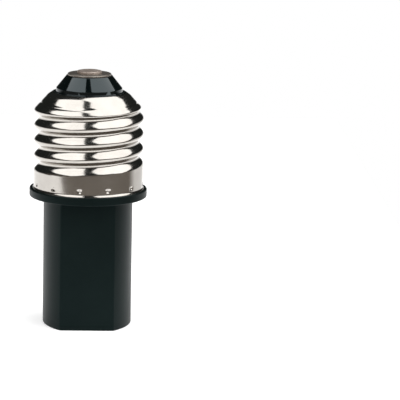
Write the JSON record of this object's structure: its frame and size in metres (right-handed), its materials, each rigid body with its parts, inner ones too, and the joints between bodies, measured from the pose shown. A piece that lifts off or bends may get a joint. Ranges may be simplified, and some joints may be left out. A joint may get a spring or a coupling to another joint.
{
  "type": "lamp socket adapter",
  "caption": "Black moulded tube with a keyed plug-in socket in its mouth, and a nickel screw shell with an insulating nose and centre contact on its other end.",
  "frame": {"origin": "centre of the socket's mouth, on the plane that it stands on", "axes": "+Z along the screw axis from the mouth to the centre contact; the two flats of the tube face +Y and -Y; the two round sides face +X and -X"},
  "size_m": [0.0282, 0.0282, 0.0612],
  "materials": {
    "black_moulding": "satin black moulding",
    "black_gloss": "polished black moulding",
    "nickel_plate": "bright nickel plate on rolled sheet",
    "contact_brass": "worn brass",
    "tinned_leaf": "tinned spring sheet",
    "rivet_brass": "bright brass",
    "tinned_copper": "tinned",
    "bare_copper": "bare copper",
    "solder": "dull solder",
    "brown_insulation": "smooth insulation",
    "blue_insulation": "smooth insulation"
  },
  "bodies": {
    "root": {"housing": "black_moulding", "screw_shell": "nickel_plate", "nose_insulator": "black_gloss", "centre_contact_plate": "contact_brass", "centre_contact_rivet": "rivet_brass", "centre_solder_tag": "tinned_copper", "centre_solder_joint": "solder", "shell_solder_joint": "solder", "live_contact": "tinned_leaf", "neutral_contact": "tinned_leaf", "live_rivet": "rivet_brass", "neutral_rivet": "rivet_brass", "live_terminal": "tinned_copper", "neutral_terminal": "tinned_copper", "live_wire_core": "bare_copper", "live_wire_sleeve": "brown_insulation", "neutral_wire_core": "bare_copper", "neutral_wire_sleeve": "blue_insulation"}
  },
  "joints": []
}
